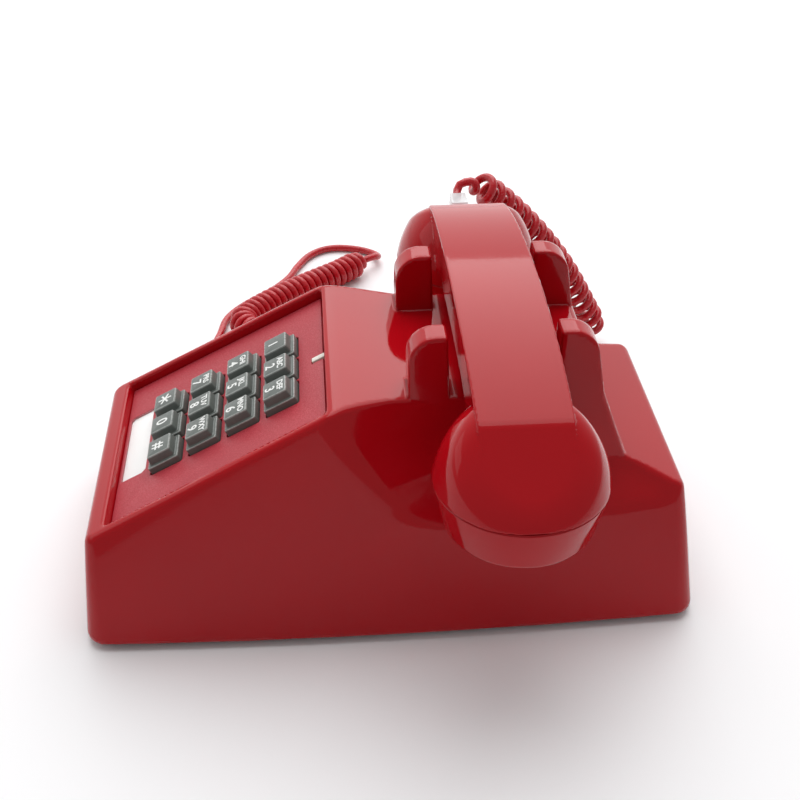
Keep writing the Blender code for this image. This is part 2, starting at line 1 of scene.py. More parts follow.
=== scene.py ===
"""The looks of a push-button desk telephone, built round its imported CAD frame.

Helpers work in millimetres and turn their results into metres with MM. +X is the user's right,
-Y is the keypad's side and +Z is up, as in the CAD model.
"""

import math

import bmesh
import bpy
import numpy as np
from mathutils import Matrix, Vector


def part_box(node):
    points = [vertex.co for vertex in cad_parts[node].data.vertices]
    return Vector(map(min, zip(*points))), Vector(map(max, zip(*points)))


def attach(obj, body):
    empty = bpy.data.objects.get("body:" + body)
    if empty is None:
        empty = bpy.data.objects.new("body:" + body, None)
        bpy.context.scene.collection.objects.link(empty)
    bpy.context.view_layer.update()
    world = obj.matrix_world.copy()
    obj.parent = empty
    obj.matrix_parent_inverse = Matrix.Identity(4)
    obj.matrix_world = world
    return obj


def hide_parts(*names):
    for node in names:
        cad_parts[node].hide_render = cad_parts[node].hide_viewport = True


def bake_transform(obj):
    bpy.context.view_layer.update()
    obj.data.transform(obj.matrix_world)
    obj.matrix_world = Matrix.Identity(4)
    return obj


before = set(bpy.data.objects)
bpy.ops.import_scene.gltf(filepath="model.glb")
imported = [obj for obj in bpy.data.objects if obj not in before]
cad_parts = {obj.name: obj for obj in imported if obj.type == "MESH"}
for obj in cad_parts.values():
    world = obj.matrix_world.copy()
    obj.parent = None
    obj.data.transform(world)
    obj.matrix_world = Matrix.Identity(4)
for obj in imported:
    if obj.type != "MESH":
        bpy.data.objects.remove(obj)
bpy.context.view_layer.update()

MM = 0.001
GAP = 0.3

# Meshing of the implicit forms. Stiffness holds a point in place where the surface near it is flat.
HOUSING_CELL = 1.25
HANDSET_CELL = 0.9
STIFFNESS = 0.06
SLOPE_STEP = 0.04
SETTLING_STEPS = 2
SETTLING_REACH = 0.1
STRAY_NORMAL = 0.6

# Base, as the CAD model has it.
SHELL_BOTTOM = 3.0
FRONT_Y = -121.0
REAR_Y = 121.0
FRONT_DRAFT = 0.085
REAR_DRAFT = 0.131
HALF_WIDTH = 70.0
WIDTH_LOSS_AT_ENDS = 3.0
CORNER_RADIUS = 9.0
CORNER_RADIUS_LOSS = 5.0
RIM_FRONT = (-117.2, 44.0)
CREST_FRONT = (-21.5, 95.6)
CREST_REAR = (7.6, 97.4)
DECK_REAR = (113.6, 56.6)
RIM_HALF_FRONT = 52.5
RIM_HALF_CREST = 49.5
RIM_HALF_REAR = 51.5
WALL = 2.8
NOTCH_FRONT = ((0.863, 0.287, 0.417), 75.2)
NOTCH_REAR = ((0.874, -0.348, 0.340), 25.4)
NOTCH_FLOOR = ((0.648, 0.029, 0.762), 77.9)
HANDLE_Y = 43.0
TROUGH_FLOOR = 94.0
BLOCK_FRONT = 9.0
BLOCK_BOTTOM = 45.0
PRONG_INNER = 25.8
PRONG_OUTER = 36.5
PRONG_TOP = 118.3
PRONG_DRAFT = 0.11
PRONG_FRONT = (7.2, 21.8)
PRONG_REAR = (63.6, 84.5)
PRONG_LEAN = 0.035
PLUNGER_X = 31.5
LINE_JACK_HOLE = ((21.7, 99.0, 7.7), (38.3, 126.0, 22.3))
HANDSET_JACK_HOLE = ((-73.6, -92.3, 4.5), (-50.0, -75.7, 18.3))
VOLUME_WHEEL_SLOT = ((-75.0, 21.0, 4.4), (-60.0, 45.0, 8.6))

# Faceplate and keys.
SLOPE = math.radians(28.2)
PANEL_CENTRE = (0.0, -67.0, 71.55)
PANEL_HALF_FRONT = 48.0
PANEL_HALF_BACK = 45.7
PANEL_HALF_LENGTH = 49.0
PANEL_TOP = -4.4
PANEL_THICK = 2.4
KEY_TOP = 1.9
KEY_PITCH_X = 16.1
KEY_PITCH_Y = 17.8
KEYS_MIDDLE = 1.4
KEY_SKIRT = (14.3, 13.8)
KEY_CAP = (11.6, 11.2)
KEY_SKIRT_TOP = -1.8
KEY_BOTTOM = -9.0
CARD_SIZE = (43.4, 11.4)
CARD_MIDDLE = (-3.2, -41.7)
CARD_CUT = 1.6
LATCH_HALF_WIDTH = 1.4
LATCH_LENGTH = 6.9
# Bevel bands of each key that get the paler material: a painted highlight along the edges.
KEY_HIGHLIGHT_BANDS = (2, 3, 7, 8)
KEY_NAMES = ("1", "2", "3", "4", "5", "6", "7", "8", "9", "star", "0", "hash")
KEY_MARKS = ("1", "2", "3", "4", "5", "6", "7", "8", "9", "*", "0", "#")
KEY_LETTERS = ("", "ABC", "DEF", "GHI", "JKL", "MNO", "PRS", "TUV", "WXY", "", "", "")

# Handset.
CUP_X = 81.5
CUP_RADIUS = 31.0
SEAM_Z = 88.5
CAP_BOTTOM = 69.5
HANDLE_TOP = 124.0
HANDLE_HALF_WIDTH = 17.2
HANDLE_LEAN = 0.035
BROW = (84.0, 113.2)
BROW_NORMAL = (0.6, 0.0, 0.8)
DOME_RADIUS = 31.8
DOME_HEIGHT = 40.0
DOME_MIDDLE = 81.0

# Cord.
WIRE = 4.0
COIL = 15.4
HANDSET_TAIL = [(-117.7, 43, 100), (-121, 43.1, 100.2), (-124, 43.9, 101.6), (-125, 45.6, 103.8)]
COIL_HANGING = [(-125.8, 51.0, 104.2), (-128, 58, 98.8), (-131, 70, 87.5), (-135, 86, 69),
                (-139, 101, 47.5), (-142, 114, 24), (-143, 119, 14), (-144, 118, 7.9)]
COIL_RESTING = [(-145, 109, 7.9), (-147, 80, 7.9), (-147, 40, 7.9), (-146, 0, 7.9), (-147, -32, 7.9),
                (-151, -54, 7.9), (-161, -64.5, 7.9), (-172, -63, 7.9), (-190, -46, 7.9), (-204, -29, 7.9),
                (-216, -13, 7.9), (-228, 0, 7.9), (-231, 3.4, 7.9)]
BASE_TAIL = [(-235, 9.5, 7.6), (-241, 12, 4.6), (-249, 9, 2.6), (-255, 1, 2.2), (-258, -10, 2.2),
             (-256.5, -20, 2.2), (-249, -29, 2.2), (-236, -36, 2.2), (-221, -42, 2.2), (-206, -53, 2.2),
             (-192, -67, 2.2), (-178, -75.5, 2.2), (-162, -78.5, 2.2), (-140, -84, 2.2), (-118, -88, 2.4),
             (-98, -87.5, 5.6), (-87.5, -84.8, 10.4), (-80.3, -84, 11.2)]
PITCH_HANGING = 6.6
PITCH_RESTING = 4.35

# Camera.
EYE = Vector((0.4153, -0.0244, 0.3552))
CAMERA_YAW = math.radians(-4.32)
CAMERA_PITCH = math.radians(34.7)
LENS = 55.76

# Studio: the sky runs from dark to bright along its axis.
SKY_AXIS = (-0.94, 0.0, 0.34)
SKY_SPREAD = (0.1, 0.95)
SKY_DARK = 0.4
SKY_BRIGHT = 1.25
OVERHEAD_POWER = 22.0
FRONT_POWER = 2.0


# Camera


def make_camera():
    """A camera looking along -X and down, at the viewing angle of the reference view."""
    forward = Vector((
        -math.cos(CAMERA_PITCH) * math.cos(CAMERA_YAW),
        -math.cos(CAMERA_PITCH) * math.sin(CAMERA_YAW),
        -math.sin(CAMERA_PITCH),
    ))
    right = forward.cross(Vector((0, 0, 1))).normalized()
    up = right.cross(forward)
    data = bpy.data.cameras.new("camera")
    data.lens = LENS
    data.sensor_width = 36.0
    camera = bpy.data.objects.new("camera", data)
    turn = Matrix((right, up, -forward)).transposed().to_4x4()
    camera.matrix_world = Matrix.Translation(EYE) @ turn
    bpy.context.scene.collection.objects.link(camera)
    bpy.context.scene.camera = camera


# Meshes


def link(name, mesh, look=None):
    """A mesh or curve as an object in the scene, with its material."""
    made = bpy.data.objects.new(name, mesh)
    if look is not None:
        mesh.materials.append(look)
    bpy.context.scene.collection.objects.link(made)
    return made


def mesh_from(name, points, faces, look, normals=None):
    """A smooth mesh from points in millimetres, without given normals that stray from its own."""
    mesh = bpy.data.meshes.new(name)
    points = np.asarray(points, float) * MM
    mesh.from_pydata(points.tolist(), [], faces.tolist() if hasattr(faces, "tolist") else faces)
    mesh.shade_smooth()
    if normals is not None:
        own = np.array([vertex.normal[:] for vertex in mesh.vertices])
        astray = (own * normals).sum(axis=1) < STRAY_NORMAL
        normals = np.where(astray[:, None], own, normals)
        mesh.normals_split_custom_set_from_vertices(normals.tolist())
    return link(name, mesh, look)


def mesh_of(shape, name, look, matrix=None, angle=35):
    """A bmesh in millimetres as an object, smooth but for its sharp edges."""
    bmesh.ops.recalc_face_normals(shape, faces=shape.faces)
    mesh = bpy.data.meshes.new(name)
    shape.to_mesh(mesh)
    shape.free()
    if matrix is not None:
        mesh.transform(matrix)
    mesh.transform(Matrix.Scale(MM, 4))
    mesh.shade_smooth()
    mesh.set_sharp_from_angle(angle=math.radians(angle))
    return link(name, mesh, look)


def panel_matrix(u=0.0, v=0.0, w=0.0):
    """The faceplate's frame in millimetres: X, up the slope, and out of the slope."""
    return Matrix.Translation(PANEL_CENTRE) @ Matrix.Rotation(SLOPE, 4, "X") @ Matrix.Translation((u, v, w))


def rounded_rectangle(half_x, half_y, radius, steps=4):
    """A rectangle round the origin with its corners as arcs."""
    points = []
    for corner, (sign_x, sign_y) in enumerate(((1, 1), (-1, 1), (-1, -1), (1, -1))):
        for step in range(steps + 1):
            angle = math.radians(90 * (corner + step / steps))
            points.append((
                sign_x * (half_x - radius) + radius * math.cos(angle),
                sign_y * (half_y - radius) + radius * math.sin(angle),
            ))
    return points


def stacked(name, levels, look, matrix=None, angle=35):
    """A closed solid through rounded rectangles: (height, half x, half y, corner radius), bottom first."""
    shape = bmesh.new()
    rings = []
    for height, half_x, half_y, radius in levels:
        outline = rounded_rectangle(half_x, half_y, radius)
        rings.append([shape.verts.new((x, y, height)) for x, y in outline])
    for low, high in zip(rings, rings[1:]):
        for index in range(len(low)):
            following = (index + 1) % len(low)
            shape.faces.new((low[index], low[following], high[following], high[index]))
    shape.faces.new(rings[0][::-1])
    shape.faces.new(rings[-1])
    return mesh_of(shape, name, look, matrix, angle)


def slab(name, low, high, edge, look, matrix=None, corner=None):
    """A box between two corners with rounded edges."""
    low, high = Vector(low), Vector(high)
    half = (high - low) / 2
    corner = edge * 1.5 if corner is None else corner
    tiny = edge * 0.3
    levels = [
        (-half.z, half.x - edge, half.y - edge, max(corner - edge, 0.05)),
        (-half.z + tiny, half.x - tiny, half.y - tiny, max(corner - tiny, 0.05)),
        (-half.z + edge, half.x, half.y, corner),
        (half.z - edge, half.x, half.y, corner),
        (half.z - tiny, half.x - tiny, half.y - tiny, max(corner - tiny, 0.05)),
        (half.z, half.x - edge, half.y - edge, max(corner - edge, 0.05)),
    ]
    moved = Matrix.Translation((low + high) / 2)
    return stacked(name, levels, look, moved if matrix is None else matrix @ moved)


def turned(name, profile, centre, look, steps=96, angle=35):
    """A closed solid turned about Z: (radius, height) points that start and end on the axis."""
    shape = bmesh.new()
    rings = []
    for radius, height in profile[1:-1]:
        rings.append([
            shape.verts.new((radius * math.cos(a), radius * math.sin(a), height))
            for a in (2 * math.pi * step / steps for step in range(steps))
        ])
    first = shape.verts.new((0, 0, profile[0][1]))
    last = shape.verts.new((0, 0, profile[-1][1]))
    for index in range(steps):
        following = (index + 1) % steps
        shape.faces.new((first, rings[0][following], rings[0][index]))
        shape.faces.new((last, rings[-1][index], rings[-1][following]))
        for low, high in zip(rings, rings[1:]):
            shape.faces.new((low[index], low[following], high[following], high[index]))
    return mesh_of(shape, name, look, Matrix.Translation(centre), angle)


def outline_plate(name, outer, holes, low, high, bevel, look, matrix):
    """A flat plate from an outline with holes through it, its edges rounded."""
    curve = bpy.data.curves.new(name, "CURVE")
    curve.dimensions = "2D"
    curve.fill_mode = "BOTH"
    curve.bevel_depth = bevel
    curve.bevel_resolution = 2
    curve.offset = -bevel
    curve.extrude = (high - low) / 2 - bevel
    for outline in (outer, *holes):
        line = curve.splines.new("POLY")
        line.points.add(len(outline) - 1)
        for point, (x, y) in zip(line.points, outline):
            point.co = (x, y, 0.0, 1.0)
        line.use_cyclic_u = True
    guide = link(name + "_outline", curve)
    graph = bpy.context.evaluated_depsgraph_get()
    mesh = bpy.data.meshes.new_from_object(guide.evaluated_get(graph))
    bpy.data.objects.remove(guide, do_unlink=True)
    shape = bmesh.new()
    shape.from_mesh(mesh)
    bmesh.ops.remove_doubles(shape, verts=shape.verts, dist=0.001)
    bpy.data.meshes.remove(mesh)
    return mesh_of(shape, name, look, matrix @ Matrix.Translation((0, 0, (low + high) / 2)))


# Implicit forms: functions of X, Y and Z that are negative inside, in millimetres


def both(a, b, radius):
    """Where both forms are, with an edge of that radius."""
    round_edge = np.hypot(np.maximum(a + radius, 0), np.maximum(b + radius, 0))
    return np.minimum(np.maximum(a, b), -radius) + round_edge


def either(a, b, radius):
    """Where either form is, with a fillet of that radius."""
    return -both(-a, -b, radius)


def crossings(form, inside, value, cell, low):
    """Where the surface crosses the grid's edges: each crossing's cells, place and normal."""
    cells, places, normals = [], [], []
    for axis in range(3):
        first = [slice(None)] * 3
        second = [slice(None)] * 3
        first[axis] = slice(None, -1)
        second[axis] = slice(1, None)
        where = np.argwhere(inside[tuple(first)] != inside[tuple(second)])
        ends = where.copy()
        ends[:, axis] += 1
        a, b = value[tuple(where.T)], value[tuple(ends.T)]
        place = where.astype(float)
        place[:, axis] += a / (a - b)
        place = low + cell * place
        normal = unit(slope_of(form, place))
        others = [other for other in range(3) if other != axis]
        for step_a in (-1, 0):
            for step_b in (-1, 0):
                beside_it = where.copy()
                beside_it[:, others[0]] += step_a
                beside_it[:, others[1]] += step_b
                cells.append(beside_it)
                places.append(place)
                normals.append(normal)
    return np.concatenate(cells), np.concatenate(places), np.concatenate(normals)


def surface_points(form, inside, value, cell, low):
    """A point in each crossed cell, where its tangent planes meet, and the cells' numbers."""
    shape = tuple(count - 1 for count in value.shape)
    cells, places, normals = crossings(form, inside, value, cell, low)
    flat = np.ravel_multi_index(tuple(cells.T), shape)
    used, index = np.unique(flat, return_inverse=True)
    count = np.bincount(index)

    def total(values):
        return np.bincount(index, weights=values)

    middle = np.stack([total(places[:, axis]) / count for axis in range(3)], axis=1)
    offset = ((places - middle[index]) * normals).sum(axis=1)
    matrix = np.empty((len(used), 3, 3))
    pull = np.empty((len(used), 3))
    for row in range(3):
        pull[:, row] = total(normals[:, row] * offset)
        for column in range(3):
            matrix[:, row, column] = total(normals[:, row] * normals[:, column])
    matrix += STIFFNESS * np.eye(3)
    moved = np.linalg.solve(matrix, pull[:, :, None])[:, :, 0]
    corner = low + cell * np.stack(np.unravel_index(used, shape), axis=1)
    points = np.clip(middle + moved, corner, corner + cell)
    number = np.full(shape, -1, np.int64)
    number[np.unravel_index(used, shape)] = np.arange(len(used))
    return points, number


def surface_faces(inside, number):
    """A square round each grid edge that crosses the surface, facing out."""
    faces = []
    for axis in range(3):
        b, c = (axis + 1) % 3, (axis + 2) % 3
        first = [slice(1, -1)] * 3
        second = [slice(1, -1)] * 3
        first[axis] = slice(None, -1)
        second[axis] = slice(1, None)
        start, end = inside[tuple(first)], inside[tuple(second)]
        for leaving in (True, False):
            where = np.argwhere((start != end) & (start == leaving))
            where[:, b] += 1
            where[:, c] += 1
            corners = []
            for step_b, step_c in ((-1, -1), (0, -1), (0, 0), (-1, 0)):
                place = where.copy()
                place[:, b] += step_b
                place[:, c] += step_c
                corners.append(number[place[:, 0], place[:, 1], place[:, 2]])
            if not leaving:
                corners.reverse()
            faces.append(np.stack(corners, axis=1))
    return np.concatenate(faces)


def unit(vectors):
    """The vectors at length one."""
    return vectors / np.maximum(np.linalg.norm(vectors, axis=1), 1e-6)[:, None]


def slope_of(form, points):
    """The form's gradient at some points."""
    parts = []
    for axis in range(3):
        moved = np.zeros(3)
        moved[axis] = SLOPE_STEP
        ahead = form(*(points + moved).T)
        behind = form(*(points - moved).T)
        parts.append((ahead - behind) / (2 * SLOPE_STEP))
    return np.stack(parts, axis=1)


def form_mesh(name, form, low, high, cell, look):
    """The surface of an implicit form, with its points moved onto it and its true normals."""
    low = np.array(low, float)
    counts = [int(math.ceil((b - a) / cell)) + 1 for a, b in zip(low, high)]
    axes = [low[axis] + cell * np.arange(counts[axis]) for axis in range(3)]
    slices = []
    for x in axes[0]:
        y, z = np.meshgrid(axes[1], axes[2], indexing="ij")
        slices.append(form(np.full_like(y, x), y, z))
    value = np.stack(slices).astype(np.float32)
    inside = value < 0
    points, number = surface_points(form, inside, value, cell, low)
    faces = surface_faces(inside, number)
    reach = SETTLING_REACH * cell
    for _ in range(SETTLING_STEPS):
        slope = slope_of(form, points)
        length = np.maximum((slope**2).sum(axis=1), 0.2)
        move = np.clip(form(*points.T) / length, -reach, reach)
        points = points - slope * move[:, None]
    return mesh_from(name, points, faces, look, unit(slope_of(form, points)))


def beside(normal, distance, x, y, z):
    """How far a point is past a plane, where normal . point = distance is on it."""
    length = math.sqrt(sum(part * part for part in normal))
    return (normal[0] * x + normal[1] * y + normal[2] * z - distance) / length


def above(low, high, y, z):
    """Height over the line through two (Y, Z) points, square to it."""
    run, rise = high[0] - low[0], high[1] - low[1]
    return ((z - low[1]) * run - (y - low[0]) * rise) / math.hypot(run, rise)


def panel_place(y, z):
    """A point's place up the slope and out of it."""
    y = y - PANEL_CENTRE[1]
    z = z - PANEL_CENTRE[2]
    return y * math.cos(SLOPE) + z * math.sin(SLOPE), z * math.cos(SLOPE) - y * math.sin(SLOPE)


def panel_half(v):
    """The faceplate recess's half width along the slope."""
    middle = (PANEL_HALF_FRONT + PANEL_HALF_BACK) / 2
    return middle - (PANEL_HALF_FRONT - PANEL_HALF_BACK) / 2 * v / PANEL_HALF_LENGTH


def base_form(x, y, z):
    """The base's outer form with its notches and cradle block, without the prongs or the bottom."""
    x = np.abs(x)
    rim_y, rim_z = zip(RIM_FRONT, CREST_FRONT, CREST_REAR, DECK_REAR)
    rim_half = np.interp(y, (RIM_FRONT[0], CREST_FRONT[0], DECK_REAR[0]),
                         (RIM_HALF_FRONT, RIM_HALF_CREST, RIM_HALF_REAR))
    foot = HALF_WIDTH - WIDTH_LOSS_AT_ENDS * (y / REAR_Y) ** 2
    part = np.clip(z, 0, None) / np.interp(y, rim_y, rim_z)
    side = (x - foot + (foot - rim_half) * (0.85 * part + 0.15 * part**3)) * 0.97
    front = FRONT_Y + FRONT_DRAFT * z - y
    rear = y - REAR_Y + REAR_DRAFT * z
    radius = CORNER_RADIUS - CORNER_RADIUS_LOSS * np.clip(part, 0, 1)
    walls = both(both(side, front, radius), rear, radius)
    roof = both(above(RIM_FRONT, CREST_FRONT, y, z), above(CREST_FRONT, CREST_REAR, y, z), 2.0)
    roof = both(roof, above(CREST_REAR, DECK_REAR, y, z), 10.0)
    form = both(walls, roof, 1.9)
    block_side = beside((1.0, 0.0, PRONG_DRAFT), PRONG_OUTER + PRONG_DRAFT * PRONG_TOP, x, y, z)
    notch = both(-beside(*NOTCH_FRONT, x, y, z), -beside(*NOTCH_REAR, x, y, z), 4.0)
    notch = both(notch, -beside(*NOTCH_FLOOR, x, y, z), 4.0)
    notch = both(notch, -block_side, 3.0)
    form = both(form, -notch, 1.8)
    block = both(block_side, z - TROUGH_FLOOR, 1.2)
    block = both(block, beside((0.0, 0.94, 0.342), 108.0, x, y, z), 2.0)
    block = np.maximum(np.maximum(block, BLOCK_FRONT - y), BLOCK_BOTTOM - z)
    return np.minimum(form, block)


def prongs_form(x, y, z):
    """The cradle's four uprights, each with a rounded outer shoulder."""
    x = np.abs(x)
    outer = beside((1.0, 0.0, PRONG_DRAFT), PRONG_OUTER + PRONG_DRAFT * PRONG_TOP, x, y, z)
    inner = PRONG_INNER - 0.03 * (PRONG_TOP - z) - x
    front_low, front_high = PRONG_FRONT
    rear_low, rear_high = PRONG_REAR
    lean = PRONG_LEAN * (PRONG_TOP - z)
    front = both(front_low - y, z - PRONG_TOP, 10.4)
    front = both(front, y - front_high - lean, 1.2)
    rear = both(y - rear_high + 0.155 * (z - 70.0), z - PRONG_TOP - 0.5, 8.9)
    rear = both(rear, rear_low - lean - y, 1.2)
    across = both(inner, outer, 1.0)
    pair = np.minimum(both(front, across, 1.0), both(rear, across, 1.0))
    return np.maximum(pair, 82.0 - z)


def box_form(low, high, x, y, z):
    """A sharp box between two corners."""
    parts = [np.maximum(a - place, place - b) for a, b, place in zip(low, high, (x, y, z))]
    return np.maximum(np.maximum(parts[0], parts[1]), parts[2])


def housing_form(x, y, z):
    """The whole shell: outer form, prongs, cavity, faceplate recess and holes."""
    body = base_form(x, y, z)
    outer = both(np.minimum(body, prongs_form(x, y, z)), SHELL_BOTTOM - z, 1.0)
    shell = both(outer, -(body + WALL), 0.5)
    v, w = panel_place(y, z)
    reach = both(np.abs(x) - panel_half(v), np.abs(v) - PANEL_HALF_LENGTH, 2.0)
    ring = np.maximum(np.maximum(reach - 2.2, np.abs(w + 6.0) - 5.5), body)
    shell = np.minimum(shell, ring)
    recess = np.maximum(reach, -(w - PANEL_TOP + PANEL_THICK + GAP))
    shell = both(shell, -recess, 1.0)
    opening = both(np.abs(x) - panel_half(v) + 3.5, np.abs(v - 2.6) - PANEL_HALF_LENGTH + 2.6, 1.5)
    shell = both(shell, -np.maximum(opening, -(w + 22.0)), 0.4)
    plunger_hole = np.maximum(np.hypot(np.abs(x) - PLUNGER_X, y - HANDLE_Y) - 3.4, 80.0 - z)
    shell = both(shell, -plunger_hole, 0.5)
    for low, high in (LINE_JACK_HOLE, HANDSET_JACK_HOLE, VOLUME_WHEEL_SLOT):
        shell = both(shell, -box_form(low, high, x, y, z), 0.3)
    return shell


def crown_height(x):
    """The handle's flat top along X: an arch that steepens towards the cups."""
    return HANDLE_TOP - x**2 / 880.0 - 5.5 * (x / 100.0) ** 4


def handset_form(x, y, z):
    """The handset's moulding: an arched flat-topped handle that runs into a round cup at each end."""
    x = np.abs(x)
    y = np.abs(y - HANDLE_Y)
    brow = beside(BROW_NORMAL, BROW_NORMAL[0] * BROW[0] + BROW_NORMAL[2] * BROW[1], x, y, z)
    sides = y - HANDLE_HALF_WIDTH + HANDLE_LEAN * (HANDLE_TOP - z)
    belly = 101.0 - x**2 / 1250.0 - 21.0 * np.clip((x - 35.0) / 50.0, 0, 1) ** 2 - z
    handle = both(both(sides, belly, 3.5), both(brow, x - 96.0, 4.0), 0.8)
    across = np.hypot(x - CUP_X, y) / DOME_RADIUS
    high = (z - DOME_MIDDLE) / DOME_HEIGHT
    near = np.hypot(across, high)
    steep = np.hypot(across / DOME_RADIUS, high / DOME_HEIGHT) + 1e-9
    dome = both(near * (near - 1.0) / steep, brow, 5.0)
    body = both(np.minimum(handle, dome), z - crown_height(x), 0.7)
    return both(body, SEAM_Z - z, 0.5)


def handset_hollow(x, y, z):
    """The cups' insides and the socket for the cord's plug."""
    far = np.hypot(np.abs(x) - CUP_X, y - HANDLE_Y)
    cup = np.maximum(far - 26.4 + 0.35 * (z - SEAM_Z), z - SEAM_Z - 6.0)
    socket = box_form((-122.0, HANDLE_Y - 5.1, 96.2), (-106.0, HANDLE_Y + 5.1, 103.8), x, y, z)
    return np.minimum(cup, socket)


def handset_shell(x, y, z):
    """The handset's moulding with its insides hollowed out."""
    return both(handset_form(x, y, z), -handset_hollow(x, y, z), 0.3)


# Materials


class Look:
    """A Principled material with procedural detail in object space."""

    def __init__(self, name, colour, roughness, metallic=0.0, **constants):
        self.material = bpy.data.materials.new(name)
        self.material.use_nodes = True
        self.tree = self.material.node_tree
        self.shader = self.tree.nodes["Principled BSDF"]
        self.shader.inputs["Base Color"].default_value = (*colour, 1.0)
        self.shader.inputs["Roughness"].default_value = roughness
        self.shader.inputs["Metallic"].default_value = metallic
        for label, value in constants.items():
            self.shader.inputs[label.replace("_", " ")].default_value = value
        self.colour = colour
        self.place = self.tree.nodes.new("ShaderNodeTexCoord").outputs["Object"]
        self.normal = None

    def node(self, kind, **inputs):
        made = self.tree.nodes.new(kind)
        for label, value in inputs.items():
            socket = made.inputs[label.replace("_", " ")]
            if isinstance(value, bpy.types.NodeSocket):
                self.tree.links.new(value, socket)
            else:
                socket.default_value = value
        return made

    def noise(self, size, detail=2.0, stretch=None):
        """Noise with features of that size in millimetres, drawn out by stretch along X, Y and Z."""
        place = self.place
        if stretch is not None:
            place = self.node("ShaderNodeMapping", Vector=place, Scale=stretch).outputs["Vector"]
        made = self.node("ShaderNodeTexNoise", Vector=place, Scale=1 / (size * MM), Detail=detail)
        return made.outputs["Fac"]

    def ranged(self, value, low, high, start=0.3, end=0.7):
        made = self.node("ShaderNodeMapRange", Value=value)
        for label, number in (("From Min", start), ("From Max", end), ("To Min", low), ("To Max", high)):
            made.inputs[label].default_value = number
        return made.outputs["Result"]

    def rough(self, value, low, high, start=0.3, end=0.7):
        self.tree.links.new(self.ranged(value, low, high, start, end), self.shader.inputs["Roughness"])
        return self

    def tint(self, value, other, low=0.0, high=1.0, start=0.3, end=0.7):
        """Runs the colour towards another as value rises."""
        mix = self.node("ShaderNodeMix")
        mix.data_type = "RGBA"
        before = self.shader.inputs["Base Color"]
        self.tree.links.new(self.ranged(value, low, high, start, end), mix.inputs["Factor"])
        colour_a, colour_b = [socket for socket in mix.inputs if socket.type == "RGBA"][:2]
        if before.is_linked:
            self.tree.links.new(before.links[0].from_socket, colour_a)
        else:
            colour_a.default_value = (*self.colour, 1.0)
        colour_b.default_value = (*other, 1.0)
        colour_out = [socket for socket in mix.outputs if socket.type == "RGBA"][0]
        self.tree.links.new(colour_out, before)
        return self

    def bump(self, value, depth, strength=1.0):
        """Relief of that depth in millimetres."""
        made = self.node("ShaderNodeBump", Height=value, Distance=depth * MM, Strength=strength)
        if self.normal is not None:
            self.tree.links.new(self.normal, made.inputs["Normal"])
        self.normal = made.outputs["Normal"]
        self.tree.links.new(self.normal, self.shader.inputs["Normal"])
        return self


def shades(colour, factor):
    """A colour made lighter or darker."""
    return tuple(channel * factor for channel in colour)


def shell_look():
    """Glossy moulded ABS: faint flow variation, hairline scuffs and very slight waviness."""
    red = (0.42, 0.0024, 0.007)
    look = Look("shell_red", red, 0.07, IOR=1.48, Specular_IOR_Level=0.28)
    look.tint(look.noise(60, 3), shades(red, 0.86), 0.0, 0.6)
    look.rough(look.noise(1.6, 4, (1, 1, 0.25)), 0.045, 0.095, 0.35, 0.75)
    look.bump(look.noise(26, 1), 0.05, 0.35)
    look.bump(look.noise(0.7, 3), 0.002, 0.6)
    return look.material


def panel_look():
    """The faceplate's fine spark-eroded grain."""
    red = (0.42, 0.022, 0.036)
    look = Look("panel_red", red, 0.5, IOR=1.52)
    look.tint(look.noise(0.55, 3), (0.66, 0.11, 0.14), 0.0, 0.55, 0.45, 0.75)
    look.tint(look.noise(30, 2), shades(red, 0.8), 0.0, 0.35)
    look.rough(look.noise(0.6, 2), 0.42, 0.62)
    look.bump(look.noise(0.62, 3), 0.09, 0.8)
    return look.material


def key_look():
    """Grey-green satin keys."""
    grey = (0.105, 0.118, 0.108)
    look = Look("key_grey", grey, 0.38)
    look.tint(look.noise(4, 4), shades(grey, 1.3), 0.0, 0.6)
    look.rough(look.noise(1.2, 3), 0.30, 0.48)
    look.bump(look.noise(0.35, 2), 0.012, 0.6)
    return look.material


def painted_edge_highlight_look():
    """Painted highlight on the keys' rounded edges: a paler and smoother grey than their faces."""
    grey = (0.33, 0.35, 0.33)
    look = Look("key_edge_painted_highlight", grey, 0.26)
    look.tint(look.noise(1.5, 3), shades(grey, 0.7), 0.0, 0.8)
    look.rough(look.noise(1.0, 3), 0.2, 0.34)
    return look.material


def mark_look():
    look = Look("key_mark_white", (0.85, 0.86, 0.84), 0.45)
    look.tint(look.noise(0.5, 3), (0.72, 0.73, 0.70), 0.0, 0.6)
    look.rough(look.noise(0.8, 2), 0.38, 0.55)
    return look.material


def cord_look():
    """Soft vinyl: a little cloudier than the shell, with faint drawing lines."""
    red = (0.50, 0.006, 0.014)
    look = Look("cord_red", red, 0.24, IOR=1.5)
    look.tint(look.noise(9, 3), shades(red, 0.78), 0.0, 0.7)
    look.rough(look.noise(2.2, 3), 0.18, 0.34)
    look.bump(look.noise(0.5, 3), 0.012, 0.5)
    return look.material


def paper_look():
    look = Look("paper", (0.97, 0.97, 0.96), 0.6)
    look.tint(look.noise(0.4, 4, (1, 4, 1)), (0.92, 0.92, 0.91), 0.0, 0.5)
    look.bump(look.noise(0.25, 3), 0.01, 0.4)
    return look.material


def clear_look():
    """Thin clear plastic, hazed by fine scratches."""
    look = Look("clear_plastic", (0.95, 0.96, 0.96), 0.06, Alpha=0.06)
    look.rough(look.noise(0.9, 4, (6, 1, 1)), 0.04, 0.16)
    return look.material


def plug_look():
    look = Look("clear_plug", (0.80, 0.83, 0.84), 0.12, Alpha=0.55)
    look.rough(look.noise(1.5, 3), 0.08, 0.2)
    return look.material


